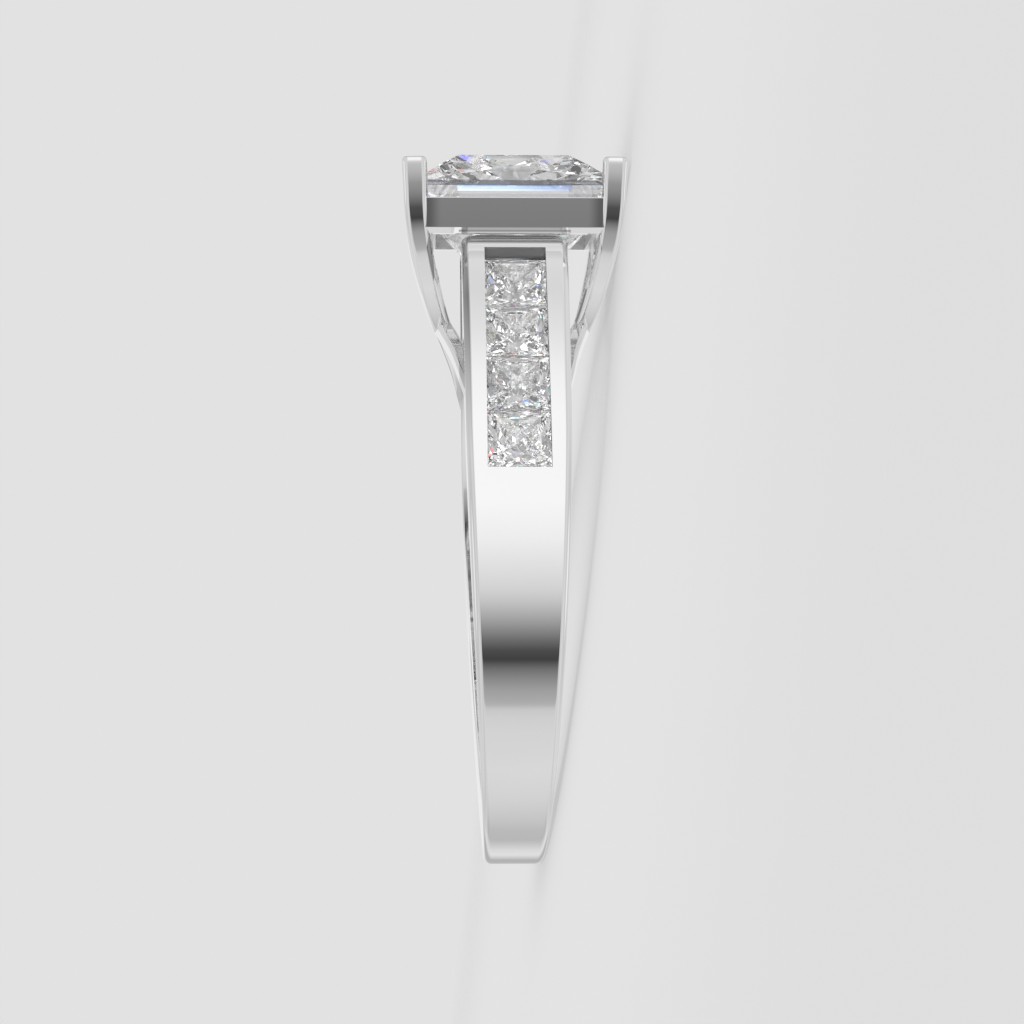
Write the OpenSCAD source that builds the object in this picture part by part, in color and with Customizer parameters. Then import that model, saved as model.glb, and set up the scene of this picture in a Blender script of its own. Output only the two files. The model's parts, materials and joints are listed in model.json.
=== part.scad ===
// Princess-cut solitaire ring with channel-set shoulders, lying on its side.
// The ring is drawn with the head towards +X and the finger along Z, then laid down
// so that two prongs and the foot of the band touch the plane z = 0.

/* [Band] */
// Radius of the finger hole
hole_r = 8.25; // [8.1:0.05:8.4]
// Thickness of the band at its foot and sides
band_t = 1.8; // [1.7:0.05:2.2]
// Half of the band's width at its foot
foot_w = 1.04; // [0.9:0.02:1.2]
// Half of the band's width at the tops of the shoulders
shoulder_w = 1.86; // [1.7:0.02:2]
// Radius of the band's rounded outer edges
edge_r = 0.28; // [0.15:0.01:0.35]
// Angle from the head at which each shoulder leaves the round of the band
leave_a = 57.5; // [57:0.5:59]
// Radius of each shoulder's long curve up to the rail
shoulder_r = 42; // [38:1:46]
// Height of the shoulder tops above the centre of the finger hole
shoulder_top = 12.24; // [12:0.02:12.3]

/* [Side stones] */
// Number of stones in each shoulder
side_count = 4; // [1:1:4]
// Side of one square stone
side_w = 2.22; // [1.8:0.02:2.24]
// Width of the channel's mouth, a little less than the stone
mouth_w = 2.12; // [1.7:0.02:2.16]
// Depth of the stones' tables below the metal
sunk = 0.33; // [0.2:0.01:0.36]

/* [Centre stone] */
// Width of the square centre stone
stone_w = 7.1; // [6.9:0.1:7.2]
// Width of its table
table_w = 3.88; // [3.4:0.02:4.2]
// Height of the table above the centre of the finger hole
table_x = 15.13; // [14.9:0.01:15.3]
// Height of the crown
crown_h = 1.11; // [0.9:0.01:1.2]
// Height of the girdle
girdle_h = 0.14; // [0.08:0.01:0.2]
// Depth of the pavilion, from the girdle to the point
pavilion_h = 3.5; // [3.2:0.05:4.5]

/* [Head] */
// Thickness of a prong wire at its tip
wire_top = 0.88; // [0.7:0.02:0.95]
// Thickness of a prong wire where it joins the shoulder
wire_end = 0.6; // [0.5:0.02:0.7]
// Height of the prong tips above the centre of the finger hole
tip_x = 14.87; // [14.7:0.01:15]
// Height of the gallery rail's upper edge
rail_top = 13.46; // [13.4:0.02:13.6]
// Half of the rail's outer width at its upper edge
rail_w = 3.62; // [3.6:0.01:3.66]
// Lean of the rail's outer faces from upright
rail_lean = 12.4; // [10:0.2:16]

/* [Hidden] */
gap = 0.1;              // between a stone and the metal round it
joint_gap = 0.06;       // half of what lies between two stones in a channel
lift = 0.04;            // between a stone's crown and the metal over it
overlap = 0.02;         // of solids that are joined
outer_r = hole_r + band_t;
inner_r = hole_r - 0.35; // the band is drawn into the hole, which then cuts it
bore_len = 12;
flare = 0.07;           // that each shoulder gains from the round of the band to the rail
widen_a = 140;          // angle from the foot where the band is at its widest
half_side = side_w / 2;
side_table = half_side * 0.66;
side_crown = 0.18;
side_girdle = 0.05;
side_pavilion = 0.92;
pitch = side_w + 2 * joint_gap;
first_run = -0.21;      // of the lowest stone's middle, along the band's outer edge
foot_room = 0.25;       // of the channel's mouth past the lowest stone
mouth_h = 1.2;
rail_lip = 0.19;        // cut off the rail's lower edge
rail_in = 2.75;         // half of the rail's inner width
tip_h = 0.14;           // of the cut edge round a prong's tip
tip_share = 0.7;        // of the wire's thickness that is left at the tip
wire_flat = 0.6;        // of the wire's thickness that its flat sides take up
round_steps = 31;
fillet_steps = 3;
shoulder_steps = 7;
wire_steps = 3;

// The band's outer edge seen along the finger: round up to each shoulder, then a
// longer curve that leaves the round at a tangent. run is the length along it from
// there, positive towards the head.
bend_c = (outer_r - shoulder_r) * [cos(leave_a), sin(leave_a)];
top_a = acos((shoulder_top - bend_c.x) / shoulder_r);
function edge_a(run) = leave_a - run / (run > 0 ? shoulder_r : outer_r) * 180 / PI;
function edge_at(run) =
    let (a = edge_a(run), d = [cos(a), sin(a)])
    run > 0 ? bend_c + shoulder_r * d : outer_r * d;

// The underside of a shoulder follows the hole for a share of its length, and then
// runs straight up to the rail
under_share = 0.42;
under_a = 30;
under_foot = inner_r * [cos(under_a), sin(under_a)];
under_top = [shoulder_top, 1.9];

// Rows of the wire's centre line: height towards the head, offset along the band,
// offset along the finger. Each wire leans across to the other shoulder.
wire_rows = [
    [tip_x - tip_h, 3.50, 3.49],
    [14.0, 3.39, 3.46],
    [13.2, 3.22, 3.43],
    [12.4, 2.97, 3.35],
    [11.4, 2.50, 3.16],
    [10.4, 1.78, 2.91],
    [9.4, 0.47, 2.60],
    [8.65, -1.48, 2.25],
    [7.9, -3.55, 1.92],
    [7.15, -5.15, 1.68],
    [6.5, -6.30, 1.48],
];

function smooth(t) = let (u = min(max(t, 0), 1)) u * u * (3 - 2 * u);
function mix(a, b, t) = a + (b - a) * t;

// Half-width of the band at an angle from its foot
function width_at(a) = mix(foot_w, shoulder_w - flare, smooth(a / widen_a));

// One section of the band: the outer point, the inner point and the half-width give
// a ring of points with rounded outer edges
function band_ring(p, q, w) =
    let (d = (q - p) / norm(q - p),
         arc = [for (i = [0 : fillet_steps]) let (a = 90 * i / fillet_steps)
                [edge_r * (1 - sin(a)), w - edge_r * (1 - cos(a))]],
         back = [for (i = [fillet_steps : -1 : 0]) [arc[i][0], -arc[i][1]]])
    concat([[q.x, q.y, w]],
           [for (s = arc) [p.x + d.x * s[0], p.y + d.y * s[0], s[1]]],
           [for (s = back) [p.x + d.x * s[0], p.y + d.y * s[0], s[1]]],
           [[q.x, q.y, -w]]);

// A shoulder's sections, from the round of the band up to the rail
function shoulder_ring(t) =
    let (out_a = mix(leave_a, top_a, t),
         p = bend_c + shoulder_r * [cos(out_a), sin(out_a)],
         a = mix(leave_a, under_a, t / under_share),
         q = t < under_share ? inner_r * [cos(a), sin(a)]
             : mix(under_foot, under_top, (t - under_share) / (1 - under_share)),
         w = mix(width_at(180 - leave_a), shoulder_w, t))
    band_ring(p, q, w);

function round_ring(a) =
    band_ring(-outer_r * [cos(a), sin(a)], -inner_r * [cos(a), sin(a)], width_at(abs(a)));

function mirrored(ring) = [for (p = ring) [p.x, -p.y, p.z]];

round_end = 180 - leave_a;
band_rings = concat(
    [for (i = [shoulder_steps : -1 : 1]) shoulder_ring(i / shoulder_steps)],
    [for (i = [-round_steps : round_steps]) round_ring(round_end * i / round_steps)],
    [for (i = [1 : shoulder_steps]) mirrored(shoulder_ring(i / shoulder_steps))]);

// A closed solid through rings of equal numbers of points
module loft(rings) {
    n = len(rings[0]);
    last = (len(rings) - 1) * n;
    polyhedron(
        points = [for (ring = rings) for (p = ring) p],
        faces = concat(
            [[for (i = [0 : n - 1]) i]],
            [for (k = [0 : len(rings) - 2]) for (i = [0 : n - 1])
                let (a = k * n + i, b = k * n + (i + 1) % n)
                each [[a, a + n, b], [b, a + n, b + n]]],
            [[for (i = [n - 1 : -1 : 0]) last + i]]),
        convexity = 6);
}

// Smooth curve through the wire's rows
function curve(a, b, c, d, t) =
    0.5 * (2 * b + (c - a) * t + (2 * a - 5 * b + 4 * c - d) * t * t
           + (3 * b - a - 3 * c + d) * t * t * t);
function row(i) = wire_rows[min(max(i, 0), len(wire_rows) - 1)];
wire_spans = len(wire_rows) - 1;
function wire_at(u) =
    let (i = min(floor(u), wire_spans - 1))
    curve(row(i - 1), row(i), row(i + 1), row(i + 2), u - i);

// One section of a wire: a square with cut corners, across the wire's own direction
function wire_ring(u, size) =
    let (c = wire_at(u),
         ahead = wire_at(min(u + 0.05, wire_spans)),
         behind = wire_at(max(u - 0.05, 0)),
         d = (behind - ahead) / norm(behind - ahead),
         e = cross([0, 0, 1], d) / norm(cross([0, 0, 1], d)),
         f = cross(d, e),
         h = size / 2, k = h * wire_flat)
    [for (s = [[h, -k], [k, -h], [-k, -h], [-h, -k], [-h, k], [-k, h], [k, h], [h, k]])
        c + e * s[0] + f * s[1]];

wire_taper = 6;         // rows of the wire over which it thins from its tip
tip_ring = [for (p = wire_ring(0, wire_top * tip_share)) p + [tip_h, 0, 0]];
wire_rings = concat(
    [tip_ring],
    [for (j = [0 : wire_spans * wire_steps])
        let (u = j / wire_steps) wire_ring(u, mix(wire_top, wire_end, smooth(u / wire_taper)))]);

// A princess cut with its table at the origin, facing +Z. The facets on each side
// of the pavilion fan out from the corners, and the crown has two tiers.
module princess(half, table, crown, girdle, pavilion) {
    low = -crown - girdle;
    corners = [[1, 1], [-1, 1], [-1, -1], [1, -1]];
    sides = [[0, 1], [-1, 0], [0, -1], [1, 0]];
    // Distance from the middle and height, of the break in the crown's corners, of the
    // stars' points at its sides and of the chevrons' points below it
    breaks = [mix(table, half, 0.41), -crown * 0.375];
    star = [mix(table, half, 0.57), -crown * 0.435];
    chevrons = [for (c = [[0.76, 0.38], [0.51, 0.655], [0.26, 0.865]])
        [half * c[0], low - pavilion * c[1]]];
    corner_rows = [for (c = [[table, 0], breaks, [half, -crown], [half, low]])
        for (s = corners) [s.x * c[0], s.y * c[0], c[1]]];
    side_rows = [for (c = concat([star], chevrons)) for (s = sides)
        [s.x * c[0], s.y * c[0], c[1]]];
    culet = len(corner_rows) + len(side_rows);
    top = 0; mid = 4; edge = 8; base = 12; stars = 16; fans = 20;
    polyhedron(
        points = concat(corner_rows, side_rows, [[0, 0, low - pavilion]]),
        faces = concat(
            [[top + 3, top + 2, top + 1, top]],
            [for (i = [0 : 3]) let (n = (i + 1) % 4) each [
                [top + i, top + n, stars + i],
                [top + i, stars + i, mid + i],
                [top + n, mid + n, stars + i],
                [mid + i, stars + i, edge + i],
                [mid + n, edge + n, stars + i],
                [stars + i, edge + n, edge + i],
                [edge + i, edge + n, base + n, base + i],
                [base + i, base + n, fans + i],
                [base + i, fans + i, fans + 4 + i],
                [base + n, fans + 4 + i, fans + i],
                [base + i, fans + 4 + i, fans + 8 + i],
                [base + n, fans + 8 + i, fans + 4 + i],
                [base + i, fans + 8 + i, culet],
                [base + n, culet, fans + 8 + i]]]),
        convexity = 2);
}

// Puts a stone's table at a height and faces it towards the head
module head_place(x = table_x) {
    translate([x, 0, 0]) rotate([0, 90, 0]) children();
}

// Puts a stone in a shoulder: number 1 is the lowest, on the round of the band
module side_place(side, i) {
    run = first_run + pitch * (i - 1);
    p = edge_at(run);
    mirror([0, side == "front" ? 1 : 0, 0])
        translate([p.x, p.y, 0]) rotate([0, 0, edge_a(run)]) translate([-sunk, 0, 0])
            rotate([0, 90, 0]) children();
}

module side_stone() {
    princess(half_side, side_table, side_crown, side_girdle, side_pavilion);
}

// Room for one side stone, with the channel's mouth above it
module side_pocket(i) {
    translate([0, 0, lift])
        princess(half_side + gap, side_table + gap, side_crown, side_girdle + lift + gap / 2,
                 side_pavilion + gap / 2);
    head_end = pitch / 2 + joint_gap;
    foot_end = i == 1 ? half_side + foot_room : head_end;
    translate([-mouth_w / 2, -head_end, -side_crown - overlap])
        cube([mouth_w, head_end + foot_end, mouth_h]);
}

module centre_pocket() {
    translate([0, 0, lift])
        princess(stone_w / 2 + gap, table_w / 2 + gap, crown_h, girdle_h + gap, pavilion_h + gap);
}

module band() {
    difference() {
        loft(band_rings);
        cylinder(h = bore_len, r = hole_r, center = true, $fn = 128);
    }
}

// Square collar under the stone, its faces leaning in towards the band
module gallery_rail() {
    h = rail_top - shoulder_top - rail_lip;
    lip_w = rail_w - h * tan(rail_lean);
    rotate([0, 90, 0]) rotate([0, 0, 45]) {
        translate([0, 0, rail_top - h])
            cylinder(h = h, r1 = lip_w * sqrt(2), r2 = rail_w * sqrt(2), $fn = 4);
        translate([0, 0, shoulder_top - overlap])
            cylinder(h = rail_lip + overlap, r1 = (lip_w - rail_lip) * sqrt(2),
                     r2 = lip_w * sqrt(2), $fn = 4);
    }
}

// Hollow of the rail below the stone
module rail_hollow() {
    translate([(rail_top + shoulder_top) / 2, 0, 0])
        cube([2 * (rail_top - shoulder_top), 2 * rail_in, 2 * rail_in], center = true);
}

module prong_wires() {
    for (across = [0, 1]) for (up = [0, 1])
        mirror([0, across, 0]) mirror([0, 0, up]) loft(wire_rings);
}

module mounting() {
    color("silver") difference() {
        union() {
            band();
            difference() {
                gallery_rail();
                rail_hollow();
            }
            prong_wires();
        }
        head_place() centre_pocket();
        for (side = ["front", "back"]) for (i = [1 : side_count]) side_place(side, i) side_pocket(i);
    }
}

module centre_stone() {
    color("aliceblue") head_place()
        princess(stone_w / 2, table_w / 2, crown_h, girdle_h, pavilion_h);
}

// Lays the ring on its side. The tilt is worked out from the lowest point of a
// prong and the lowest point of the band, which both end up at z = 0.
function turned(p, a) = [p.x * cos(a) - p.z * sin(a), p.y, p.x * sin(a) + p.z * cos(a)];
function lowest(points, a) =
    let (low = min([for (p = points) turned(p, a).z]))
    [for (p = points) if (turned(p, a).z <= low + 1e-9) p][0];
function settle(a, rounds) =
    rounds == 0 ? a :
    let (p = lowest(prong_points, a), q = lowest(band_points, a))
    settle(atan((q.z - p.z) / (p.x - q.x)), rounds - 1);
prong_points = [for (ring = wire_rings) for (p = ring) [p.x, p.y, -abs(p.z)]];
band_points = [for (ring = band_rings) for (p = ring) p];
tilt = settle(6, 5);
drop = -min([for (p = prong_points) turned(p, tilt).z]);
tops = concat([for (p = prong_points) turned(p, tilt).x],
              [turned([table_x, 0, -table_w / 2], tilt).x]);
feet = [for (p = band_points) turned(p, tilt).x];
slide = -(max(tops) + min(feet)) / 2;

module lay() {
    translate([slide, 0, drop]) rotate([0, -tilt, 0]) children();
}

echo(tilt = tilt, slide = slide, drop = drop);
lay() mounting();
lay() centre_stone();
for (side = ["front", "back"]) for (i = [1 : side_count])
    lay() color("aliceblue") side_place(side, i) side_stone();
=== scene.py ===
import json
import math

import bmesh
import bpy
from mathutils import Matrix, Vector


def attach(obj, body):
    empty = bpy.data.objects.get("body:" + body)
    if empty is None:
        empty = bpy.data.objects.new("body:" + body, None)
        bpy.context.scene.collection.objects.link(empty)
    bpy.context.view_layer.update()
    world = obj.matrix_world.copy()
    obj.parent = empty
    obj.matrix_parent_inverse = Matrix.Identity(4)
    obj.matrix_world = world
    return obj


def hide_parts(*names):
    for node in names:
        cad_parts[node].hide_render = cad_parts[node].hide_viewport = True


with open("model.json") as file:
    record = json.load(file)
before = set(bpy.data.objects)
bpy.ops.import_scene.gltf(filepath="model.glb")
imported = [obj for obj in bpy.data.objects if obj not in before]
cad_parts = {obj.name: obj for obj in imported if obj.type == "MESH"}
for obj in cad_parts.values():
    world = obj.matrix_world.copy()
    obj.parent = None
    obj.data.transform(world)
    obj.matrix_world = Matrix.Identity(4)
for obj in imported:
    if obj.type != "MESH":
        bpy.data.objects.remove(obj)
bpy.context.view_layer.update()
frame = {"record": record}
print("frame loaded")

# Everything is drawn with the head towards +X and the finger along Z, in millimetres, and
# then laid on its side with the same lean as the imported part.
mm = 0.001
hole = next(m for m in frame["record"]["mounts"] if m["name"] == "finger_hole")
fingerWay = Vector(hole["axis"]).normalized()
headWay = Vector((fingerWay.z, 0, -fingerWay.x))
lay = (Matrix.Translation(hole["pos_m"])
       @ Matrix((headWay, (0, 1, 0), fingerWay)).transposed().to_4x4()
       @ Matrix.Scale(mm, 4))
holeR = hole["dims"]["r_mm"]


def mix(a, b, t):
    return a + (b - a) * t


def smooth(t):
    u = min(max(t, 0), 1)
    return u * u * (3 - 2 * u)


def addObject(name, points, faces):
    mesh = bpy.data.meshes.new(name)
    mesh.from_pydata(points, [], faces)
    mesh.update()
    obj = bpy.data.objects.new(name, mesh)
    bpy.context.scene.collection.objects.link(obj)
    return obj


def loft(name, rings):
    # a closed skin through rings with the same number of points
    count = len(rings[0])
    last = (len(rings) - 1) * count
    faces = [tuple(range(count)), tuple(range(last + count - 1, last - 1, -1))]
    for k in range(len(rings) - 1):
        for i in range(count):
            n = (i + 1) % count
            faces.append((k * count + i, (k + 1) * count + i, (k + 1) * count + n, k * count + n))
    return addObject(name, [p for ring in rings for p in ring], faces)


def baked(obj, name=None):
    # the object's evaluated mesh, with its modifiers used up
    bpy.context.view_layer.update()
    graph = bpy.context.evaluated_depsgraph_get()
    mesh = bpy.data.meshes.new_from_object(obj.evaluated_get(graph), depsgraph=graph)
    obj.modifiers.clear()
    obj.data = mesh
    if name:
        obj.name = mesh.name = name
    return obj


def dropObject(obj):
    bpy.data.objects.remove(obj)


def sharpen(obj, angle):
    # smooth shading, with edges sharper than the angle kept crisp
    work = bmesh.new()
    work.from_mesh(obj.data)
    bmesh.ops.recalc_face_normals(work, faces=work.faces)
    for face in work.faces:
        face.smooth = True
    for edge in work.edges:
        edge.smooth = edge.calc_face_angle(0) < angle
    work.to_mesh(obj.data)
    work.free()


def keepShading(obj, way=1):
    # stores the shading normals, so that a cut through a curved face doesn't change them;
    # a tool that cuts leaves its faces turned round, so its way is -1
    weighted = obj.modifiers.new("weighted", "WEIGHTED_NORMAL")
    weighted.keep_sharp = True
    weighted.weight = 100
    baked(obj)
    facing = obj.data.attributes.new("facing", "FLOAT_VECTOR", "CORNER")
    for item, normal in zip(facing.data, obj.data.corner_normals):
        item.vector = normal.vector * way
    return obj


def combine(obj, tool, operation):
    step = obj.modifiers.new("combine", "BOOLEAN")
    step.solver = "MANIFOLD"
    step.material_mode = "TRANSFER"
    step.operation = operation
    step.object = tool
    baked(obj)
    dropObject(tool)
    return obj


class Tree:
    # short calls that add nodes to a node tree and join them
    def __init__(self, group):
        self.group = group
        self.nodes = group.nodes
        self.sockets = {}

    def take(self, name, kind):
        socket = self.group.interface.new_socket(name, in_out="INPUT", socket_type=kind)
        self.sockets[name] = socket.identifier

    def give(self, name, kind):
        self.group.interface.new_socket(name, in_out="OUTPUT", socket_type=kind)

    def start(self):
        self.source = self.nodes.new("NodeGroupInput")
        self.sink = self.nodes.new("NodeGroupOutput")
        return self.source.outputs

    def add(self, kind, values=None, output=0, **settings):
        node = self.nodes.new(kind)
        for key, value in settings.items():
            setattr(node, key, value)
        for key, value in (values or {}).items():
            socket = node.inputs[key]
            if isinstance(value, bpy.types.NodeSocket):
                self.group.links.new(value, socket)
            else:
                socket.default_value = value
        return node.outputs[output]

    def join(self, value, socket):
        self.group.links.new(value, socket)

    def math(self, operation, a, b=0.0):
        return self.add("ShaderNodeMath", {0: a, 1: b}, operation=operation)

    def dot(self, a, b):
        return self.add("ShaderNodeVectorMath", {0: a, 1: b}, output="Value",
                        operation="DOT_PRODUCT")

    def mixed(self, share, a, b):
        return self.add("ShaderNodeMix", {0: share, 6: a, 7: b}, output=2, data_type="RGBA")

    def ramp(self, share, stops, kind="LINEAR"):
        # stops are (place, grey) or (place, colour)
        node = self.nodes.new("ShaderNodeValToRGB")
        node.color_ramp.interpolation = kind
        items = node.color_ramp.elements
        for i, (place, tone) in enumerate(stops):
            item = items[i] if i < 2 else items.new(place)
            item.position = place
            item.color = (*tone, 1) if isinstance(tone, tuple) else (tone, tone, tone, 1)
        self.join(share, node.inputs[0])
        return node.outputs[0]


# Band
band = {
    "thickness": 1.8,
    "footHalf": 1.04,          # half-width at the foot
    "shoulderHalf": 1.86,      # half-width under the rail
    "flare": 0.07,             # what the shoulders widen by above the round
    "widenAngle": 140,         # from the foot
    "edgeRadius": 0.28,
    "innerRadius": 0.1,
    "leaveAngle": 57.5,        # where the shoulders leave the round
    "shoulderRadius": 42,
    "shoulderTop": 12.24,
    "underShare": 0.42,        # of a shoulder that still follows the hole
    "underAngle": 30,
    "underTop": 1.9,
    "cornerRadius": 0.45,      # at the top corners of a shoulder
    "endRound": 0.42,
    "roundSteps": 120,
    "shoulderSteps": 36,
    "endSteps": 7,
    "edgeSteps": 8,
    "innerSteps": 3,
    "drawnInside": 0.35,       # how far inside the hole the shoulders' underside is drawn
}
outerR = holeR + band["thickness"]
drawnR = holeR - band["drawnInside"]


def along(angle, radius=1.0):
    return Vector((radius * math.cos(math.radians(angle)), radius * math.sin(math.radians(angle))))


bendCentre = along(band["leaveAngle"], outerR - band["shoulderRadius"])
topAngle = math.degrees(math.acos((band["shoulderTop"] - bendCentre.x) / band["shoulderRadius"]))


def bandHalf(angle):
    # half-width of the band at an angle from its foot
    return mix(band["footHalf"], band["shoulderHalf"] - band["flare"],
               smooth(angle / band["widenAngle"]))


def edgeAt(run):
    # point and angle on the outer edge; run is the length from where a shoulder starts
    radius = band["shoulderRadius"] if run > 0 else outerR
    angle = band["leaveAngle"] - math.degrees(run / radius)
    centre = bendCentre if run > 0 else Vector((0, 0))
    return centre + along(angle, radius), angle


def bandSection(outer, inner, half, back=0.0, corner=0.0):
    # back sinks the outer face, corner narrows it, for the rounded end of a shoulder
    d = (inner - outer).normalized()
    r, q = band["edgeRadius"], band["innerRadius"]
    w = half - corner
    arc = []
    for i in range(band["edgeSteps"] + 1):
        a = math.radians(90 * i / band["edgeSteps"])
        arc.append((back + r * (1 - math.sin(a)), w - r * (1 - math.cos(a))))
    deep = (inner - outer).length
    tuck = []
    for i in range(band["innerSteps"] + 1):
        a = math.radians(90 * i / band["innerSteps"])
        tuck.append((deep - q * (1 - math.sin(a)), w - q * (1 - math.cos(a))))
    side = tuck[::-1] + arc
    return [(outer.x + d.x * s, outer.y + d.y * s, z)
            for s, z in side + [(s, -z) for s, z in side[::-1]]]


def roundSection(angle):
    return bandSection(-along(angle, outerR), -along(angle, holeR), bandHalf(abs(angle)))


def shoulderSection(t):
    outer = bendCentre + along(mix(band["leaveAngle"], topAngle, t), band["shoulderRadius"])
    share = band["underShare"]
    if t < share:
        inner = along(mix(band["leaveAngle"], band["underAngle"], t / share), drawnR)
    else:
        inner = along(band["underAngle"], drawnR).lerp(
            Vector((band["shoulderTop"], band["underTop"])), (t - share) / (1 - share))
    if inner.length < holeR:
        inner = inner.normalized() * holeR
    half = mix(bandHalf(180 - band["leaveAngle"]), band["shoulderHalf"], t)
    # distance from the shoulder's end, for its rounding
    left = (1 - t) * math.radians(band["leaveAngle"] - topAngle) * band["shoulderRadius"]
    back = endRounding(left, band["endRound"])
    corner = endRounding(left, band["cornerRadius"])
    return bandSection(outer, inner, half, back, corner)


def endRounding(left, radius):
    into = max(0.0, 1 - left / radius)
    return radius * (1 - math.sqrt(max(0.0, 1 - into * into)))


def buildBand():
    length = math.radians(band["leaveAngle"] - topAngle) * band["shoulderRadius"]
    marks = [i / band["shoulderSteps"] for i in range(1, band["shoulderSteps"])]
    marks = [t for t in marks if (1 - t) * length > band["cornerRadius"]]
    for i in range(band["endSteps"] + 1):
        a = math.radians(90 * i / band["endSteps"])
        marks.append(1 - band["cornerRadius"] * (1 - math.sin(a)) / length)
    shoulder = [shoulderSection(t) for t in marks]
    mirrored = [[(x, -y, z) for x, y, z in ring] for ring in shoulder]
    sweep = 180 - band["leaveAngle"]
    steps = band["roundSteps"]
    middle = [roundSection(sweep * i / steps) for i in range(-steps, steps + 1)]
    return loft("band", shoulder[::-1] + middle + mirrored)


# Gallery rail
rail = {
    "top": 13.46,
    "half": 3.62,              # half of its width at the top edge
    "lean": 12.4,
    "lip": 0.19,               # cut off the lower edge
    "hollow": 2.75,            # half of its inner width
    "edge": 0.03,
    "edgeDraw": 0.2,           # the outer face comes in by this share of the edge below it
}


def buildRail():
    low = band["shoulderTop"]
    tall = rail["top"] - low - rail["lip"]
    lipHalf = rail["half"] - tall * math.tan(math.radians(rail["lean"]))
    e = rail["edge"]
    outline = [(low, rail["hollow"]), (low, lipHalf - rail["lip"]), (low + rail["lip"], lipHalf),
               (rail["top"] - e, rail["half"] - e * rail["edgeDraw"]),
               (rail["top"], rail["half"] - e), (rail["top"], rail["hollow"])]
    corners = [(1, 1), (-1, 1), (-1, -1), (1, -1)]
    points = [(x, half * y, half * z) for y, z in corners for x, half in outline]
    n = len(outline)
    faces = [(k * n + i, k * n + (i + 1) % n, (k + 1) % 4 * n + (i + 1) % n, (k + 1) % 4 * n + i)
             for k in range(4) for i in range(n)]
    return addObject("rail", points, faces)


# Prong wires, each a curve through rows of height, reach along the band and offset along
# the finger
wire = {
    "rows": [
        (14.87, 3.50, 3.49), (14.6, 3.48, 3.485), (14.0, 3.39, 3.46), (13.2, 3.22, 3.43),
        (12.4, 2.97, 3.35), (11.4, 2.50, 3.16), (10.4, 1.78, 2.91), (9.4, 0.47, 2.60),
        (8.65, -1.48, 2.25), (7.9, -3.55, 1.92), (7.15, -5.15, 1.68), (6.5, -6.30, 1.48),
    ],
    "tip": 0.87,               # thickness at the tip
    "end": 0.58,               # thickness where it joins the shoulder
    "thinBy": 0.55,            # share of its length over which it thins
    "corner": 0.24,            # rounding of its section
    "tipRound": 0.18,
    "curveSteps": 18,          # between two rows
    "cornerSteps": 5,
}
wireInputs = ("tip", "end", "thinBy", "corner", "tipRound")


def wireTree():
    tree = Tree(bpy.data.node_groups.new("prongWires", "GeometryNodeTree"))
    tree.take("Geometry", "NodeSocketGeometry")
    for name in wireInputs:
        tree.take(name, "NodeSocketFloat")
    tree.take("metal", "NodeSocketMaterial")
    tree.give("Geometry", "NodeSocketGeometry")
    given = tree.start()
    line = tree.add("GeometryNodeCurveSplineType", {"Curve": given["Geometry"]},
                    spline_type="CATMULL_ROM")
    line = tree.add("GeometryNodeSetSplineResolution",
                    {"Geometry": line, "Resolution": wire["curveSteps"]})
    line = tree.add("GeometryNodeResampleCurve", {"Curve": line}, mode="EVALUATED")
    line = tree.add("GeometryNodeSetCurveNormal", {"Curve": line}, mode="Z_UP")
    # thickness falls from the tip towards the end, and rounds off over the tip itself
    share = tree.add("GeometryNodeSplineParameter", output=0)
    length = tree.add("GeometryNodeSplineParameter", output=1)
    thin = tree.add("ShaderNodeMapRange", {"Value": share, "From Max": given["thinBy"],
                    "To Min": given["tip"], "To Max": given["end"]},
                    interpolation_type="SMOOTHSTEP")
    into = tree.math("SUBTRACT", 1.0, tree.math("DIVIDE", length, given["tipRound"]))
    into = tree.math("MAXIMUM", into, 0.0)
    bulge = tree.math("SQRT", tree.math("SUBTRACT", 1.0, tree.math("MULTIPLY", into, into)))
    pulled = tree.math("MULTIPLY", tree.math("SUBTRACT", 1.0, bulge), given["tipRound"])
    size = tree.math("SUBTRACT", thin, tree.math("MULTIPLY", pulled, 2.0))
    square = tree.add("GeometryNodeCurvePrimitiveQuadrilateral", {"Width": 1.0, "Height": 1.0})
    square = tree.add("GeometryNodeFilletCurve", {"Curve": square, "Count": wire["cornerSteps"],
                      "Radius": tree.math("DIVIDE", given["corner"], given["tip"])}, mode="POLY")
    bar = tree.add("GeometryNodeCurveToMesh", {"Curve": line, "Profile Curve": square,
                   "Scale": size, "Fill Caps": True})
    # one wire, then its mirror image along the band, then both again along the finger
    for flip in ((1, -1, 1), (1, 1, -1)):
        other = tree.add("GeometryNodeTransform", {"Geometry": bar, "Scale": flip})
        other = tree.add("GeometryNodeFlipFaces", {"Mesh": other})
        joined = tree.nodes.new("GeometryNodeJoinGeometry")
        tree.join(bar, joined.inputs[0])
        tree.join(other, joined.inputs[0])
        bar = joined.outputs[0]
    bar = tree.add("GeometryNodeRealizeInstances", {"Geometry": bar})
    bar = tree.add("GeometryNodeSetMaterial", {"Geometry": bar, "Material": given["metal"]})
    tree.join(bar, tree.sink.inputs[0])
    return tree


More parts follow.
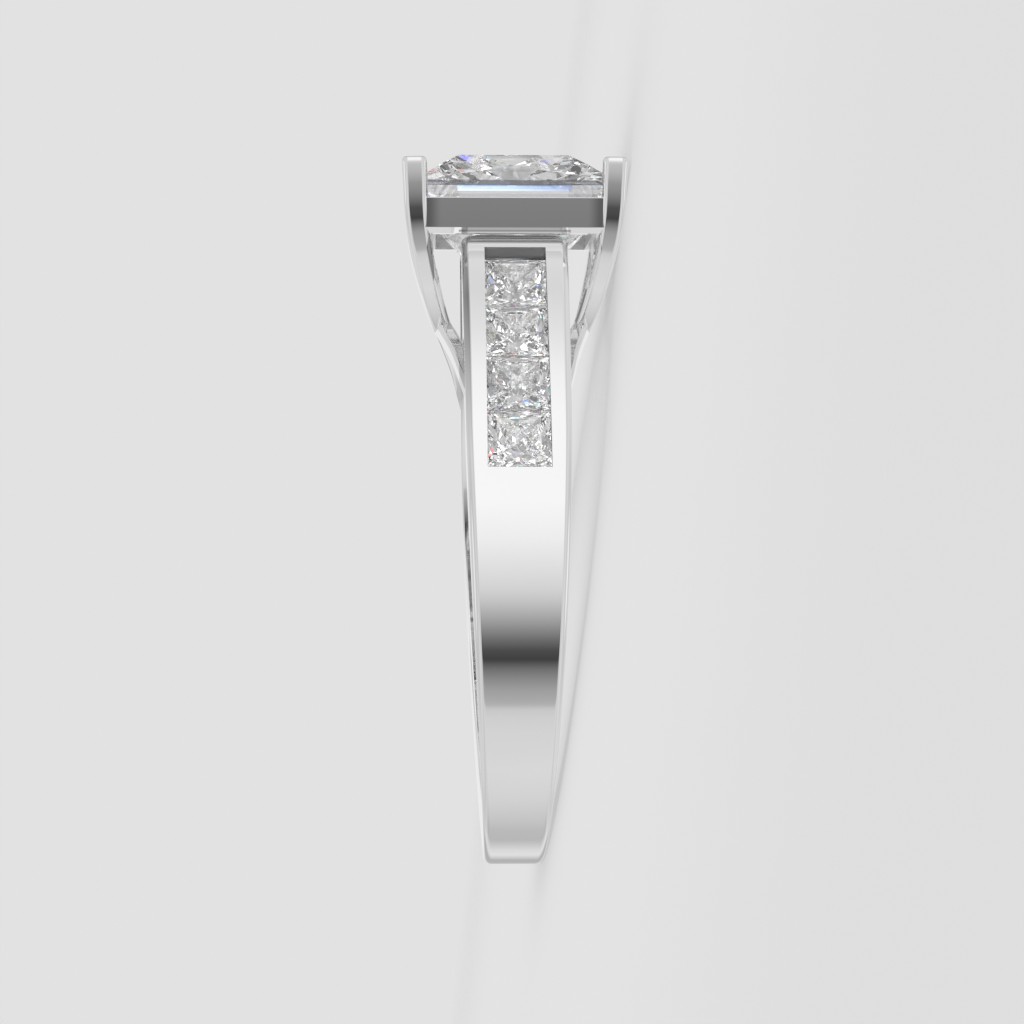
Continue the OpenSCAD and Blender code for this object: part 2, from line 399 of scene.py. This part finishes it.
def buildWires(metal):
    line = bpy.data.curves.new("wires", "CURVE")
    line.dimensions = "3D"
    spline = line.splines.new("POLY")
    spline.points.add(len(wire["rows"]) - 1)
    for point, (height, reach, side) in zip(spline.points, wire["rows"]):
        point.co = (height, reach, side, 1)
    obj = bpy.data.objects.new("wires", line)
    bpy.context.scene.collection.objects.link(obj)
    tree = wireTree()
    nodes = obj.modifiers.new("wires", "NODES")
    nodes.node_group = tree.group
    for name in wireInputs:
        nodes[tree.sockets[name]] = wire[name]
    nodes[tree.sockets["metal"]] = metal
    bpy.context.view_layer.update()
    graph = bpy.context.evaluated_depsgraph_get()
    mesh = bpy.data.meshes.new_from_object(obj.evaluated_get(graph), depsgraph=graph)
    solid = bpy.data.objects.new("wires", mesh)
    bpy.context.scene.collection.objects.link(solid)
    dropObject(obj)
    return solid


# Stones and their seats
stones = {
    "gap": 0.1,                # between a stone and its seat
    "lift": 0.04,              # of a seat towards its opening
    "jointGap": 0.06,          # half of the space between two side stones
    "overlap": 0.02,           # of a channel's mouth with the seats under it
    "centre": {"half": 3.55, "table": 1.94, "crown": 1.11, "girdle": 0.14, "pavilion": 3.5},
    "centreTop": 15.13,
    "side": {"half": 1.11, "table": 0.7326, "crown": 0.18, "girdle": 0.05, "pavilion": 0.92},
    # the crown's upper break and the stars on it: how far out from the table and how far down
    "break": (0.41, 0.375),
    "star": (0.57, 0.435),
    # rows of chevrons: share of the half width and of the pavilion's depth
    "seatChevrons": [(0.76, 0.38), (0.51, 0.655), (0.26, 0.865)],
    "centreChevrons": [(0.7, 0.42), (0.36, 0.78)],
    "sideChevrons": [(0.82, 0.29), (0.6, 0.56), (0.34, 0.8)],
    "sideCount": 4,
    "sunk": 0.33,              # of the side stones' tables under the shoulder's face
    "firstRun": -0.21,         # the lowest stone's place along the edge
    "footRoom": 0.25,          # left open below the lowest stone
    "mouth": 2.12,             # width of a channel
    "mouthHeight": 1.2,
}


def princess(name, half, table, crown, girdle, pavilion, chevrons):
    # a square stone with its table at the origin, facing +Z; the facets on each side of
    # the pavilion fan out from its corners to a row of chevrons
    low = -crown - girdle
    corners = [(1, 1), (-1, 1), (-1, -1), (1, -1)]
    sides = [(0, 1), (-1, 0), (0, -1), (1, 0)]
    breaks, star = [(mix(table, half, stones[key][0]), -crown * stones[key][1])
                    for key in ("break", "star")]
    rows = [(half * c, low - pavilion * d) for c, d in chevrons]
    points = [(x * c, y * c, z) for c, z in ((table, 0), breaks, (half, -crown), (half, low))
              for x, y in corners]
    points += [(x * c, y * c, z) for c, z in [star] + rows for x, y in sides]
    points.append((0, 0, low - pavilion))
    culet = len(points) - 1
    top, mid, edge, base, stars, fans = 0, 4, 8, 12, 16, 20
    faces = [(top, top + 1, top + 2, top + 3)]
    for i in range(4):
        n = (i + 1) % 4
        faces += [
            (stars + i, top + n, top + i), (mid + i, stars + i, top + i),
            (stars + i, mid + n, top + n), (edge + i, stars + i, mid + i),
            (stars + i, edge + n, mid + n), (edge + i, edge + n, stars + i),
            (base + i, base + n, edge + n, edge + i), (fans + i, base + n, base + i),
        ]
        for k in range(len(rows)):
            above = fans + 4 * k + i
            below = above + 4 if k + 1 < len(rows) else culet
            faces += [(below, above, base + i), (above, below, base + n)]
    return addObject(name, points, faces)


def centrePlace():
    return (Matrix.Translation((stones["centreTop"], 0, 0))
            @ Matrix.Rotation(math.radians(90), 4, "Y"))


def sidePlace(i):
    # the place of a stone in the front shoulder as it is drawn on the +Y side, 0 the lowest
    pitch = 2 * (stones["side"]["half"] + stones["jointGap"])
    point, angle = edgeAt(stones["firstRun"] + pitch * i)
    return (Matrix.Translation((point.x, point.y, 0))
            @ Matrix.Rotation(math.radians(angle), 4, "Z")
            @ Matrix.Translation((-stones["sunk"], 0, 0))
            @ Matrix.Rotation(math.radians(90), 4, "Y"))


def centreSeat(metal):
    size = dict(stones["centre"])
    gap = stones["gap"]
    size["half"] += gap
    size["table"] += gap
    size["girdle"] += gap
    size["pavilion"] += gap
    seat = princess("seat", **size, chevrons=stones["seatChevrons"])
    seat.data.materials.append(metal)
    seat.data.transform(centrePlace() @ Matrix.Translation((0, 0, stones["lift"])))
    return seat


def channelSeats(metal, satin):
    # one tool that cuts the seats and the mouth of both channels
    size = dict(stones["side"])
    gap, lift = stones["gap"], stones["lift"]
    size["half"] += gap
    size["table"] += gap
    size["girdle"] += lift + gap / 2
    size["pavilion"] += gap / 2
    half = stones["side"]["half"]
    whole = None
    for i in range(stones["sideCount"]):
        seat = princess("seat", **size, chevrons=stones["seatChevrons"])
        seat.data.materials.append(metal)
        seat.data.transform(Matrix.Translation((0, 0, lift)))
        headEnd = half + 2 * stones["jointGap"]
        footEnd = half + stones["footRoom"] if i == 0 else headEnd
        floor = -stones["side"]["crown"] - stones["overlap"]
        mouth = box("mouth", (-stones["mouth"] / 2, -headEnd, floor),
                    (stones["mouth"] / 2, footEnd, floor + stones["mouthHeight"]))
        # the mouths get the rougher channel metal, darkened as painted shade in the recesses
        mouth.data.materials.append(satin)
        combine(seat, mouth, "UNION")
        seat.data.transform(sidePlace(i))
        whole = seat if whole is None else combine(whole, seat, "UNION")
    other = whole.copy()
    other.data = whole.data.copy()
    bpy.context.scene.collection.objects.link(other)
    other.data.transform(Matrix.Scale(-1, 4, (0, 1, 0)))
    other.data.flip_normals()
    return combine(whole, other, "UNION")


def box(name, low, high):
    points = [(x, y, z) for x in (low[0], high[0]) for y in (low[1], high[1])
              for z in (low[2], high[2])]
    faces = [(0, 1, 3, 2), (4, 6, 7, 5), (0, 4, 5, 1), (2, 3, 7, 6), (0, 2, 6, 4), (1, 5, 7, 3)]
    return addObject(name, points, faces)


def buildMounting(metal, satin):
    crisp = math.radians(finish["crispAngle"])
    whole = buildBand()
    others = [buildRail(), buildWires(metal)]
    for obj in [whole] + others:
        obj.data.materials.clear()
        obj.data.materials.append(metal)
        sharpen(obj, crisp)
        keepShading(obj)
    for obj in others:
        combine(whole, obj, "UNION")
    for tool in (centreSeat(metal), channelSeats(metal, satin)):
        sharpen(tool, crisp)
        keepShading(tool, -1)
        combine(whole, tool, "DIFFERENCE")
    whole.data.transform(lay)
    facing = whole.data.attributes.get("facing")
    turn = lay.to_3x3().normalized()
    normals = [(turn @ Vector(item.vector)).normalized() for item in facing.data]
    for face in whole.data.polygons:
        face.use_smooth = True
    whole.data.normals_split_custom_set(normals)
    whole.data.attributes.remove(whole.data.attributes["facing"])
    whole.name = whole.data.name = "polishedMounting"
    return whole


# Finishes
finish = {
    "crispAngle": 28,              # edges sharper than this keep a crisp line
    "metalColour": (0.955, 0.953, 0.95),
    "metalShade": (0.93, 0.928, 0.93),
    "polish": (0.028, 0.055),      # least and most roughness
    # the metal in the channels' mouths is darker, as painted shade in the recesses, and rougher
    "channelPaintedShade": (0.56, 0.56, 0.57),
    "channelPaintedShadeLow": (0.34, 0.34, 0.35),
    "satin": (0.3, 0.42),          # where the setter's cutter has been
    "grains": (420.0, 5200.0),     # broad and fine cloudiness, in patches a metre
    "grainShares": (0.6, 0.4),
    "grainSpan": (0.35, 0.65),
    "diamondIor": 2.42,
    "fire": 0.12,                  # strength of the stones' painted fire colours
    "fireTints": [(0.0, (1, 1, 1)), (0.72, (0.62, 0.75, 1)), (0.79, (1, 0.78, 0.55)),
                  (0.85, (0.95, 0.68, 0.95)), (0.9, (0.7, 0.95, 0.85)), (0.94, (1, 1, 1))],
    "centreCells": 950.0,          # patches a metre, in the stones
    "sideCells": 2600.0,
    "blur": 0.6,                   # roughness of a stone that is mirrored in the metal
    "glowBounce": 5,
    "centreGlow": (0.02, 0.38),    # least and most of the painted glow on light that has bounced deep inside
    "sideGlow": (0.03, 1.15),
    "glowTones": [(0.0, 0.0), (0.35, 0.05), (0.5, 0.2), (0.7, 0.5), (0.85, 1.0)],
    "girdle": (13.88, 13.935),     # heights between which the centre stone is painted dark
    "girdleTint": (0.03, 0.035, 0.07),
    "above": (13.935, 14.07),      # and where it is painted half dark
    "aboveTint": (0.1, 0.1, 0.13),
    "under": (13.3, 13.88),        # heights of the painted pale glow under the girdle
    "underTint": (0.12, 0.12, 0.13),
    "underPaintedLight": (0.27, 0.267, 0.275),
    "strip": (13.695, 13.88),      # and of the painted blue light in it
    "stripRise": (13.83, 13.88),
    "stripHalf": 2.0,
    "stripSoft": 0.03,
    # the painted blue light's colours from one end to the other, below and at its upper edge
    "stripLow": [(0.0, (0.16, 0.23, 0.42)), (0.13, (0.25, 0.37, 0.64)), (0.3, (0.35, 0.5, 0.74)),
                 (0.5, (0.47, 0.63, 0.8)), (1.0, (0.62, 0.76, 0.85))],
    "stripHigh": [(0.0, (0.05, 0.05, 0.07)), (0.25, (0.06, 0.07, 0.12)), (0.4, (0.02, 0.05, 0.2)),
                  (0.55, (0.02, 0.1, 0.38)), (0.8, (0.08, 0.22, 0.55)), (1.0, (0.14, 0.28, 0.6))],
}

# Painted shade, as the share of its brightness that the metal keeps: on the tops of the shoulders
# and the rail's lip above them by height, under the rail, on one edge of the shoulders by height
# as a painted dark reflection, and on the rail by distance from its middle
nook = {
    "from": 4.5,                   # heights between which the two lists below hold
    "to": 12.4,
    "top": [(4.5, 1.0), (11.25, 1.0), (11.45, 0.88), (11.65, 0.8), (11.77, 0.74), (11.82, 0.8),
            (11.88, 1.0), (11.96, 0.95), (12.03, 0.76), (12.1, 0.8), (12.2, 1.0), (12.27, 1.0),
            (12.285, 0.45), (12.34, 0.45), (12.355, 1.0)],
    "edge": [(4.5, 0.95), (5.7, 0.82), (7.1, 0.66), (8.5, 0.47), (9.9, 0.32), (11.3, 0.48),
             (12.1, 0.7), (12.3, 1.0)],
    "edgeFrom": (0.12, 0.3),       # turn towards the side where the edge's share starts
    "half": 1.95,                  # half of the shoulders' width, and a little more
    "rail": (2.5, 3.03),           # distances between which the rail darkens, as painted shade beside the prongs
    "railEnd": 3.06,
    "railHeights": (12.45, 13.42),
    "railShadeShare": 0.5,
    "inner": 2.9,                  # half of the space inside the rail, which isn't polished
    "innerHeights": (12.2, 13.5),
    "innerRough": 0.25,
    "leanSlack": 0.02,             # for telling the rail's outer faces by their turn
}


def newMaterial(name):
    material = bpy.data.materials.new(name)
    material.use_nodes = True
    return material, Tree(material.node_tree), material.node_tree.nodes["Principled BSDF"]


def measured(tree, place, way):
    # distance in millimetres from the middle of the finger hole
    value = tree.math("SUBTRACT", tree.dot(place, way), Vector(hole["pos_m"]).dot(way))
    return tree.math("DIVIDE", value, mm)


def bandMask(tree, value, limits, soft=0.01):
    # 1 between two limits, with soft ends
    low = tree.add("ShaderNodeMapRange", {"Value": value, "From Min": limits[0] - soft,
                   "From Max": limits[0] + soft}, interpolation_type="SMOOTHSTEP")
    high = tree.add("ShaderNodeMapRange", {"Value": value, "From Min": limits[1] + soft,
                    "From Max": limits[1] - soft}, interpolation_type="SMOOTHSTEP")
    return tree.math("MULTIPLY", low, high)


def paintedShadeGroup():
    # painted shade where the shoulders run in under the rail and beside the prongs, and a painted
    # dark reflection on one edge of the shoulders
    tree = Tree(bpy.data.node_groups.new("paintedShadeNooks", "ShaderNodeTree"))
    tree.take("Height", "NodeSocketFloat")
    tree.take("Across", "NodeSocketFloat")
    tree.take("Aside", "NodeSocketFloat")
    tree.take("Flat", "NodeSocketFloat")
    tree.give("Light", "NodeSocketColor")
    given = tree.start()
    span = tree.add("ShaderNodeMapRange", {"Value": given["Height"], "From Min": nook["from"],
                    "From Max": nook["to"]})
    top, edge = [tree.ramp(span, [((h - nook["from"]) / (nook["to"] - nook["from"]), tone)
                                  for h, tone in nook[key]]) for key in ("top", "edge")]
    turned = tree.add("ShaderNodeMapRange", {"Value": given["Aside"],
                      "From Min": nook["edgeFrom"][0], "From Max": nook["edgeFrom"][1]})
    edge = tree.mixed(turned, (1, 1, 1, 1), edge)
    both = tree.add("ShaderNodeMix", {0: 1.0, 6: top, 7: edge}, output=2, data_type="RGBA",
                    blend_type="MULTIPLY")
    wide = tree.math("ABSOLUTE", given["Across"])
    within = tree.math("LESS_THAN", wide, nook["half"])
    near = tree.add("ShaderNodeMapRange", {"Value": wide, "From Min": nook["rail"][0],
                    "From Max": nook["rail"][1]}, interpolation_type="SMOOTHSTEP")
    near = tree.math("MULTIPLY", near, bandMask(tree, given["Height"], nook["railHeights"]))
    near = tree.math("MULTIPLY", near, given["Flat"])
    near = tree.math("MULTIPLY", near, tree.math("LESS_THAN", wide, nook["railEnd"]))
    dark = (*[nook["railShadeShare"]] * 3, 1)
    rest = tree.mixed(near, (1, 1, 1, 1), dark)
    tree.join(tree.mixed(within, rest, both), tree.sink.inputs["Light"])
    return tree.group


def polishGroup():
    # fine cloudiness of worked metal
    tree = Tree(bpy.data.node_groups.new("polish", "ShaderNodeTree"))
    tree.take("Bright", "NodeSocketColor")
    tree.take("Shade", "NodeSocketColor")
    tree.take("Smoothest", "NodeSocketFloat")
    tree.take("Roughest", "NodeSocketFloat")
    tree.give("Colour", "NodeSocketColor")
    tree.give("Roughness", "NodeSocketFloat")
    given = tree.start()
    place = tree.add("ShaderNodeTexCoord", output="Object")
    broad, fine = [tree.add("ShaderNodeTexNoise", {"Vector": place, "Scale": scale,
                            "Detail": detail})
                   for scale, detail in zip(finish["grains"], (3.0, 2.0))]
    both = tree.math("ADD", *[tree.math("MULTIPLY", grain, share)
                              for grain, share in zip((broad, fine), finish["grainShares"])])
    low, high = finish["grainSpan"]
    rough = tree.add("ShaderNodeMapRange", {"Value": both, "From Min": low, "From Max": high,
                     "To Min": given["Smoothest"], "To Max": given["Roughest"]})
    tree.join(tree.mixed(broad, given["Bright"], given["Shade"]), tree.sink.inputs["Colour"])
    tree.join(rough, tree.sink.inputs["Roughness"])
    return tree.group


def metalMaterial(name, colour, shade, rough, shaded=False):
    material, tree, shader = newMaterial(name)
    polish = tree.nodes.new("ShaderNodeGroup")
    polish.node_tree = bpy.data.node_groups.get("polish") or polishGroup()
    polish.inputs["Bright"].default_value = (*colour, 1)
    polish.inputs["Shade"].default_value = (*shade, 1)
    polish.inputs["Smoothest"].default_value, polish.inputs["Roughest"].default_value = rough
    tone, roughness = polish.outputs["Colour"], polish.outputs["Roughness"]
    if shaded:
        place = tree.add("ShaderNodeTexCoord", output="Object")
        height, across = measured(tree, place, headWay), measured(tree, place, fingerWay)
        # the rail isn't polished inside
        deep = tree.math("ABSOLUTE", measured(tree, place, Vector((0, 1, 0))))
        inside = tree.math("LESS_THAN", tree.math("MAXIMUM", deep, tree.math("ABSOLUTE", across)),
                           nook["inner"])
        inside = tree.math("MULTIPLY", inside, bandMask(tree, height, nook["innerHeights"]))
        roughness = tree.math("ADD", roughness, tree.math("MULTIPLY", inside, nook["innerRough"]))
        # painted shade under the rail, beside the prongs and on one edge of the shoulders,
        # multiplied into the metal's colour
        dim = tree.nodes.new("ShaderNodeGroup")
        dim.node_tree = paintedShadeGroup()
        tree.join(height, dim.inputs["Height"])
        tree.join(across, dim.inputs["Across"])
        normal = tree.add("ShaderNodeNewGeometry", output="Normal")
        tree.join(tree.dot(normal, fingerWay), dim.inputs["Aside"])
        # the rail's outer faces lean, and no other face is turned just so
        leaning = tree.math("COMPARE", tree.dot(normal, headWay),
                            -math.sin(math.radians(rail["lean"])))
        leaning.node.inputs[2].default_value = nook["leanSlack"]
        tree.join(leaning, dim.inputs["Flat"])
        tone = tree.add("ShaderNodeMix", {0: 1.0, 6: tone, 7: dim.outputs["Light"]}, output=2,
                        data_type="RGBA", blend_type="MULTIPLY")
    tree.join(tone, shader.inputs["Base Color"])
    tree.join(roughness, shader.inputs["Roughness"])
    shader.inputs["Metallic"].default_value = 1.0
    return material


def fireGroup():
    # painted fire: faint spectral colours, in patches through the stone, that stand in for the
    # light it splits, and the tones of its painted glow
    tree = Tree(bpy.data.node_groups.new("fire", "ShaderNodeTree"))
    tree.take("Scale", "NodeSocketFloat")
    tree.take("Strength", "NodeSocketFloat")
    tree.give("Colour", "NodeSocketColor")
    tree.give("Tone", "NodeSocketFloat")
    given = tree.start()
    place = tree.add("ShaderNodeTexCoord", output="Object")
    cell = tree.add("ShaderNodeTexVoronoi", {"Vector": place, "Scale": given["Scale"]},
                    output="Color", distance="MANHATTAN")
    pick = tree.add("ShaderNodeSeparateColor", {0: cell}, output=0)
    hue = tree.ramp(pick, finish["fireTints"], "CONSTANT")
    tree.join(tree.mixed(given["Strength"], (1, 1, 1, 1), hue), tree.sink.inputs["Colour"])
    other = tree.add("ShaderNodeSeparateColor", {0: cell}, output=1)
    tree.join(tree.ramp(other, finish["glowTones"]), tree.sink.inputs["Tone"])
    return tree.group


def stoneMaterial(name, scale, glowRange):
    material, tree, shader = newMaterial(name)
    fire = tree.nodes.new("ShaderNodeGroup")
    fire.node_tree = bpy.data.node_groups.get("fire") or fireGroup()
    fire.inputs["Scale"].default_value = scale
    fire.inputs["Strength"].default_value = finish["fire"]
    tree.join(fire.outputs["Colour"], shader.inputs["Base Color"])
    # mirrored in the metal a stone is only a pale blur
    path = tree.nodes.new("ShaderNodeLightPath").outputs
    mirrored = tree.math("MULTIPLY", tree.math("GREATER_THAN", path["Glossy Depth"], 0.5),
                         tree.math("LESS_THAN", path["Transmission Depth"], 0.5))
    tree.join(tree.math("MULTIPLY", mirrored, finish["blur"]), shader.inputs["Roughness"])
    # painted glow: light that is thrown about inside gets an emission after this many bounces, so
    # that it doesn't end dark
    bounce = finish["glowBounce"]
    late = tree.math("GREATER_THAN", path["Glossy Depth"], bounce - 0.5)
    deep = tree.math("MULTIPLY", late, tree.math("LESS_THAN", path["Glossy Depth"], bounce + 0.5))
    low, high = [(tone, tone, tone, 1) for tone in glowRange]
    tree.join(tree.mixed(fire.outputs["Tone"], low, high), shader.inputs["Emission Color"])
    tree.join(deep, shader.inputs["Emission Strength"])
    shader.inputs["IOR"].default_value = finish["diamondIor"]
    shader.inputs["Transmission Weight"].default_value = 1.0
    return material, tree, shader


def centreMaterial():
    # painted shade and light: the girdle is painted dark, and under it the stone is given a
    # painted pale glow with a blue edge
    material, tree, shader = stoneMaterial("centreDiamond", finish["centreCells"],
                                           finish["centreGlow"])
    place = tree.add("ShaderNodeTexCoord", output="Object")
    height = measured(tree, place, headWay)
    across = (measured(tree, place, Vector((0, 1, 0))), measured(tree, place, fingerWay))
    # only where it is looked at directly, or the rest of the stone would go dark too
    seen = tree.nodes.new("ShaderNodeLightPath").outputs["Is Camera Ray"]
    colour = shader.inputs["Base Color"].links[0].from_socket
    # painted shade on the girdle and beside it
    for key in ("under", "above", "girdle"):
        band = tree.math("MULTIPLY", bandMask(tree, height, finish[key]), seen)
        colour = tree.mixed(band, colour, (*finish[key + "Tint"], 1))
    tree.join(colour, shader.inputs["Base Color"])
    half = finish["stripHalf"]
    ends = [bandMask(tree, value, (-half, half), finish["stripSoft"]) for value in across]
    inside = tree.math("MULTIPLY", tree.math("MAXIMUM", *ends),
                       bandMask(tree, height, finish["strip"]))
    rise = tree.add("ShaderNodeMapRange", {"Value": height, "From Min": finish["stripRise"][0],
                    "From Max": finish["stripRise"][1]})
    end = tree.add("ShaderNodeMapRange", {"Value": across[1], "From Min": -half,
                   "From Max": half})
    low, high = [tree.ramp(end, finish[key]) for key in ("stripLow", "stripHigh")]
    # painted light: a pale glow under the girdle, with a blue edge
    under = bandMask(tree, height, finish["under"])
    pale = tree.mixed(under, (0, 0, 0, 1), (*finish["underPaintedLight"], 1))
    pale = tree.mixed(inside, pale, tree.mixed(rise, low, high))
    deepTone, deep = [shader.inputs[key].links[0].from_socket
                      for key in ("Emission Color", "Emission Strength")]
    tree.join(tree.mixed(seen, deepTone, pale), shader.inputs["Emission Color"])
    tree.join(tree.math("MAXIMUM", seen, deep), shader.inputs["Emission Strength"])
    return material


def buildStone(name, place, kind, material):
    stone = princess(name + "_cut", **stones[kind], chevrons=stones[kind + "Chevrons"])
    stone.data.transform(lay @ place)
    if place.determinant() < 0:
        stone.data.flip_normals()
    stone.data.materials.append(material)
    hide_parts(name)
    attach(stone, "root")


metal = metalMaterial("polishedWhiteGold", finish["metalColour"], finish["metalShade"],
                      finish["polish"], shaded=True)
# rougher metal for the channels' mouths, darkened as painted shade in the recesses
satin = metalMaterial("satinChannelsPaintedShade", finish["channelPaintedShade"], finish["channelPaintedShadeLow"],
                      finish["satin"])
mounting = buildMounting(metal, satin)
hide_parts("mounting")
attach(mounting, "root")
print("mounting built", len(mounting.data.polygons))

buildStone("centre_stone", centrePlace(), "centre", centreMaterial())
sideDiamond = stoneMaterial("sideDiamonds", finish["sideCells"], finish["sideGlow"])[0]
for side, way in (("front", -1), ("back", 1)):
    for i in range(stones["sideCount"]):
        place = Matrix.Scale(way, 4, (0, 1, 0)) @ sidePlace(i)
        buildStone(side + "_stone_" + str(i + 1), place, "side", sideDiamond)
print("stones cut")

# Camera, at the photograph's angle to the ring, with the head up in the picture
view = {
    "eye": (2.535, -99.95, 2.92),
    "aim": (2.535, 0, 0),
    "lens": 97.7,
    "clip": (0.001, 10),           # in metres
}


def buildCamera():
    data = bpy.data.cameras.new("camera")
    data.lens = view["lens"]
    data.clip_start, data.clip_end = view["clip"]
    camera = bpy.data.objects.new("camera", data)
    bpy.context.scene.collection.objects.link(camera)
    eye, aim = lay @ Vector(view["eye"]), lay @ Vector(view["aim"])
    forward = (aim - eye).normalized()
    right = forward.cross(headWay).normalized()
    up = right.cross(forward)
    turn = Matrix((right, up, -forward)).transposed().to_4x4()
    camera.matrix_world = Matrix.Translation(eye) @ turn
    bpy.context.scene.camera = camera


buildCamera()

# Floor and light
studio = {
    "backdrop": 0.76,
    "floorLight": 1.045,
    "floorTone": 0.38,
    "floorGlow": 0.388,            # keeps the shadow on it soft and pale
    "floorRadius": 0.3,
    "floorFade": (0.03, 0.1),      # from the middle, where the floor gives way to the backdrop
    "floorSides": 96,
    # brightness by angle in the ring's plane, in degrees: 0 is level with the camera and 90
    # above the head
    "front": [
        (-90, 0.697), (-79, 0.724), (-60, 0.69), (-54, 0.66), (-50, 0.61), (-47.6, 0.45),
        (-45.8, 0.417), (-41.5, 0.358), (-37.3, 0.27), (-33.2, 0.176), (-29.1, 0.052),
        (-25.1, 0.077), (-21.1, 0.157), (-17.1, 0.262), (-13.2, 0.373), (-9.3, 0.484),
        (-5.4, 0.592), (-1.5, 0.678), (2.4, 0.727), (6.3, 0.772), (18, 0.895), (34, 0.983),
        (68, 0.978), (74, 0.92), (79.7, 0.8), (86, 0.705), (90, 0.74),
    ],
    "behind": [
        (90, 0.74), (104, 0.68), (122, 0.58), (140, 0.45), (158, 0.35), (170, 0.5),
        (175, 0.85), (188, 0.85), (195, 0.5), (206, 0.45), (216, 0.78), (223, 0.726),
        (234, 0.5), (243, 0.52), (251, 0.59), (264, 0.674), (270, 0.697),
    ],
    # brightness by the share of a direction that runs along the finger
    "aside": [
        (0.0, 0.8), (0.38, 0.76), (0.46, 0.66), (0.56, 0.62), (0.68, 0.72), (0.8, 0.7),
        (0.92, 0.6), (0.96, 0.6), (0.985, 0.9), (1.0, 0.9),
    ],
    "asideFrom": (0.3, 0.46),
    # what the stones show: cells of these tones, picked at random
    "cells": [
        (0.0, 0.1), (0.06, 0.28), (0.2, 0.44), (0.5, 0.6), (0.78, 0.78), (0.9, 2.2),
    ],
    "cellScale": 2.3,
    "spread": 0.008,               # between the colours, as the stone bends them apart
    "spreadWay": (1, 0.6, -1),
}


def buildWorld():
    world = bpy.data.worlds.new("studio")
    bpy.context.scene.world = world
    world.use_nodes = True
    tree = Tree(world.node_tree)
    tree.nodes.clear()
    way = tree.add("ShaderNodeTexCoord", output="Generated")
    up = tree.dot(way, headWay)
    near = tree.dot(way, (0, -1, 0))
    far = tree.math("MULTIPLY", near, -1.0)
    quarterTurn = math.pi / 2

    def plane(items, middle, level):
        share = tree.add("ShaderNodeMapRange", {"Value": tree.math("ARCTAN2", up, level),
                         "From Min": -quarterTurn, "From Max": quarterTurn})
        return tree.ramp(share, [((a - middle) / 180 + 0.5, tone) for a, tone in items])

    front = plane(studio["front"], 0, near)
    # behind the ring the angle runs the other way
    back = plane([(360 - a, tone) for a, tone in reversed(studio["behind"])], 180, far)
    around = tree.mixed(tree.math("GREATER_THAN", near, 0.0), back, front)
    aside = tree.math("ABSOLUTE", tree.dot(way, fingerWay))
    share = tree.add("ShaderNodeMapRange", {"Value": aside, "From Min": studio["asideFrom"][0],
                     "From Max": studio["asideFrom"][1]}, interpolation_type="SMOOTHSTEP")
    metalSees = tree.mixed(share, around, tree.ramp(aside, studio["aside"]))

    # the stones see a patchwork, as a room full of lamps and faces would give them, a
    # little apart for each colour
    def cells(scale, bend):
        shift = [bend * share for share in studio["spreadWay"]]
        shifted = tree.add("ShaderNodeVectorMath", {0: way, 1: shift}, operation="ADD")
        colour = tree.add("ShaderNodeTexVoronoi", {"Vector": shifted, "Scale": scale},
                          output="Color")
        pick = tree.add("ShaderNodeSeparateColor", {0: colour}, output=0)
        return tree.ramp(pick, studio["cells"], "CONSTANT")

    parts = [cells(studio["cellScale"], bend)
             for bend in (-studio["spread"], 0.0, studio["spread"])]
    stoneSees = tree.add("ShaderNodeCombineColor", dict(enumerate(parts)))
    rays = tree.nodes.new("ShaderNodeLightPath").outputs
    plain = (studio["backdrop"],) * 3 + (1,)
    seen = tree.mixed(rays["Is Transmission Ray"], metalSees, stoneSees)
    seen = tree.mixed(rays["Is Diffuse Ray"], seen, (studio["floorLight"],) * 3 + (1,))
    seen = tree.mixed(rays["Is Camera Ray"], seen, plain)
    background = tree.add("ShaderNodeBackground", {"Color": seen, "Strength": 1.0})
    tree.join(background, tree.nodes.new("ShaderNodeOutputWorld").inputs[0])


def buildFloor():
    r, count = studio["floorRadius"], studio["floorSides"]
    points = [(r * math.cos(math.tau * i / count), r * math.sin(math.tau * i / count), 0)
              for i in range(count)]
    floor = addObject("floor", points, [tuple(range(count))])
    material, tree, shader = newMaterial("paleFloor")
    place = tree.add("ShaderNodeTexCoord", output="Object")
    away = tree.add("ShaderNodeVectorMath", {0: place}, output="Value", operation="LENGTH")
    low, high = studio["floorFade"]
    kept = tree.add("ShaderNodeMapRange", {"Value": away, "From Min": high, "From Max": low},
                    interpolation_type="SMOOTHSTEP")
    tone, glow = studio["floorTone"], studio["floorGlow"]
    shader.inputs["Base Color"].default_value = (tone, tone, tone, 1)
    shader.inputs["Emission Color"].default_value = (glow, glow, glow, 1)
    shader.inputs["Emission Strength"].default_value = 1.0
    shader.inputs["Roughness"].default_value = 1.0
    shader.inputs["Specular IOR Level"].default_value = 0.0
    shader.inputs["IOR"].default_value = 1.0
    tree.join(kept, shader.inputs["Alpha"])
    floor.data.materials.append(material)
    floor.visible_glossy = False
    floor.visible_transmission = False


buildWorld()
buildFloor()
scene = bpy.context.scene
scene.view_settings.view_transform = "Standard"
scene.cycles.max_bounces = 28
scene.cycles.glossy_bounces = 12
scene.cycles.transmission_bounces = 20
scene.cycles.transparent_max_bounces = 16
print("studio built")
